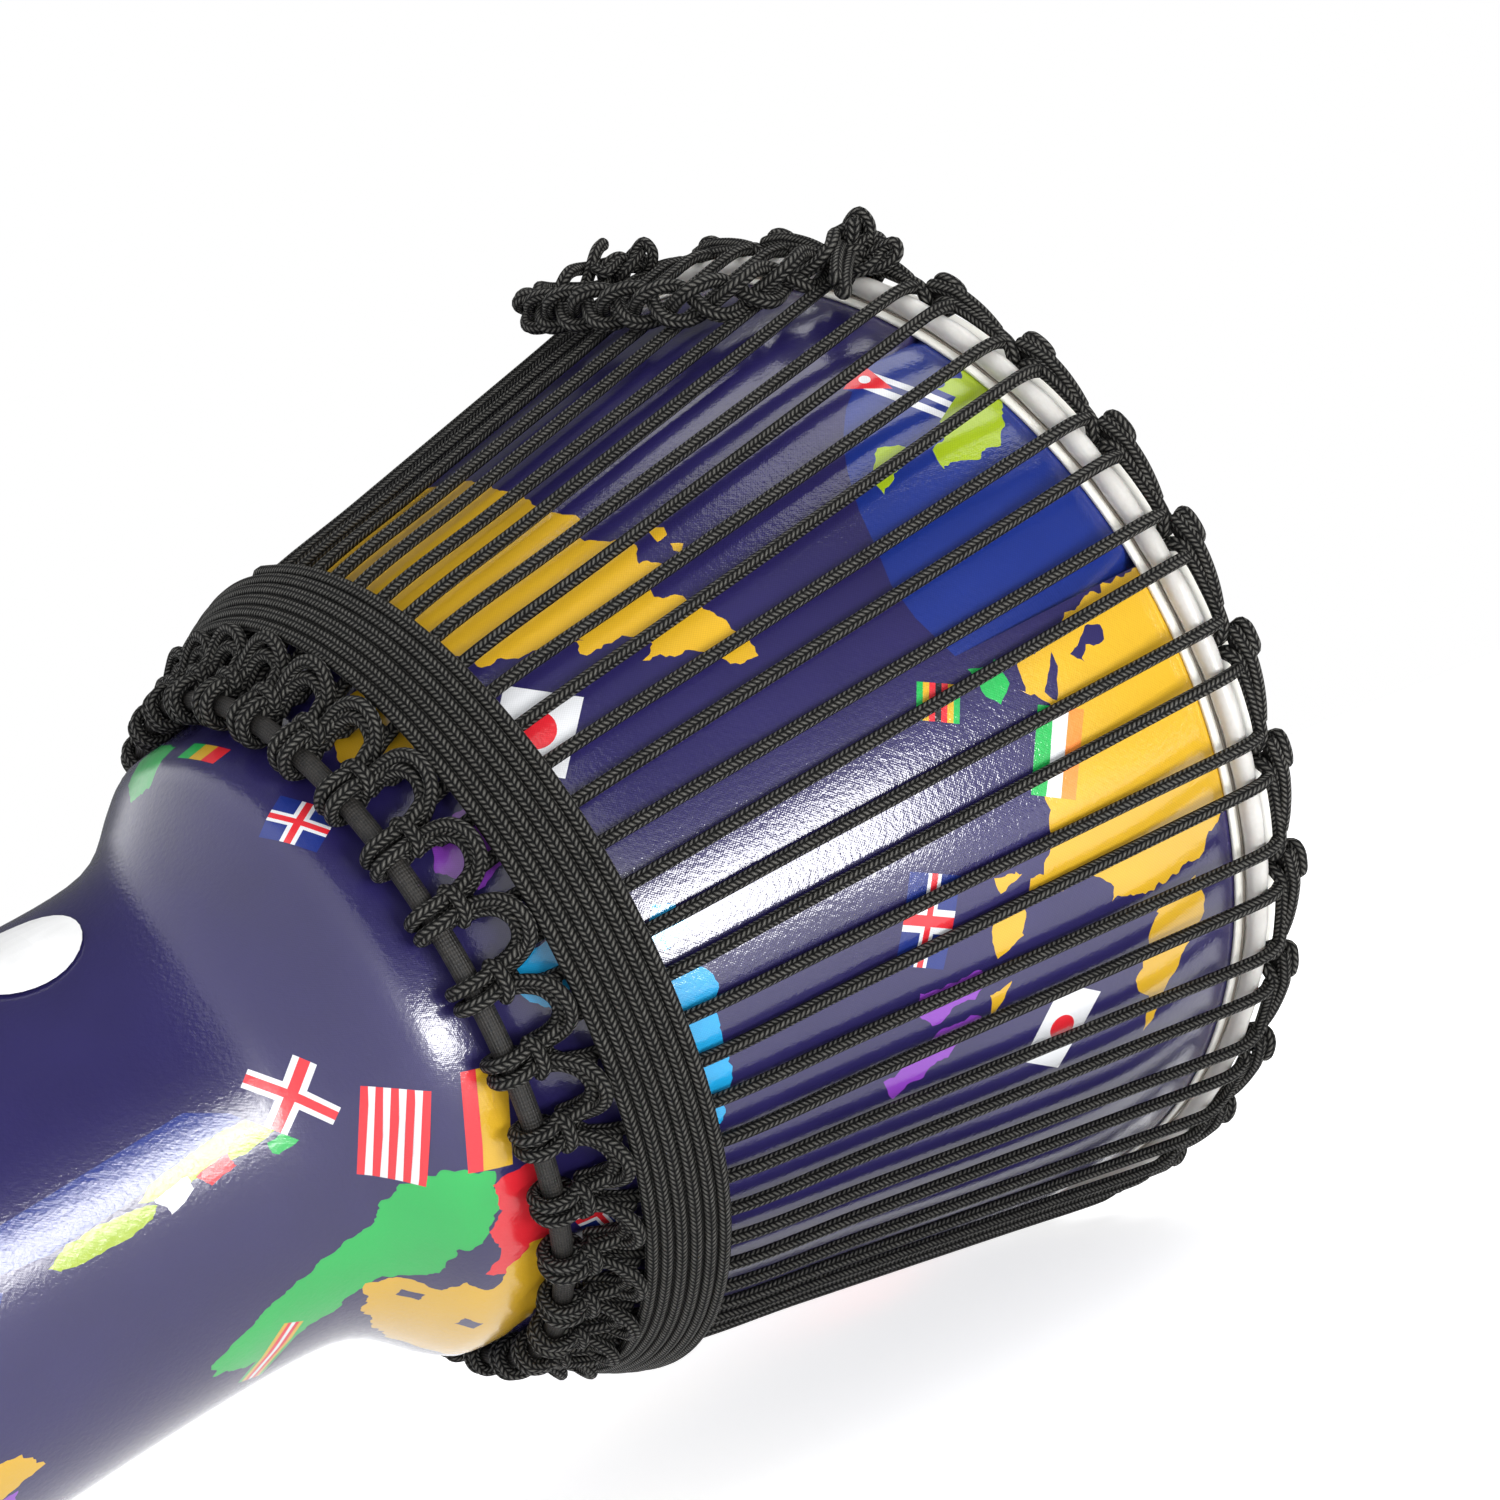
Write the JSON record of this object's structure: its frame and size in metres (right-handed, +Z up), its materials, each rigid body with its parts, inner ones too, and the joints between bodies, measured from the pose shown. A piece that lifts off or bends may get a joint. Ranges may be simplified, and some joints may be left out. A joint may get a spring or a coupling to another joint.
{
  "type": "rope-tuned djembe",
  "caption": "Goblet-shaped hand drum with a white head, black zigzag rope lacing between two rings, a rope wrap at the waist, a plaited carry handle and a glossy printed shell.",
  "frame": {"origin": "centre of the foot, on the floor that the drum stands on", "axes": "+Z up along the drum's axis, from the foot to the playing face; the front of the drum faces -Y"},
  "size_m": [0.3321, 0.3222, 0.56],
  "materials": {
    "printed_shell": "fabric printed with map shapes and flags on navy, laid on the shell under a thick glossy clear coat",
    "white_hide": "white drum skin, smooth with a soft gloss",
    "black_rope": "black braided polyester rope with a slight sheen",
    "ring_steel": "steel rod bound in black cloth tape",
    "foot_rubber": "matt black moulded rubber",
    "label_paper": "blank white sticker"
  },
  "bodies": {
    "drum": {"shell": "printed_shell", "foot_bumper": "foot_rubber", "drum_skin": "white_hide", "flesh_ring": "white_hide", "crown_ring": "ring_steel", "lower_ring": "ring_steel", "crown_cradle": "black_rope", "lower_cradle": "black_rope", "lacing_rope": "black_rope", "wrap_rope": "black_rope", "handle_knot_front": "black_rope", "handle_knot_back": "black_rope", "maker_label": "label_paper"},
    "handle": {"carry_handle": "black_rope"}
  },
  "joints": [
    {"name": "handle_swing", "type": "hinge", "parent": "drum", "child": "handle", "pos_m": [-0.14033, -0.08069, 0.5455], "axis": [-0.4985, 0.8669, 0], "range_deg": [0, 180]}
  ]
}
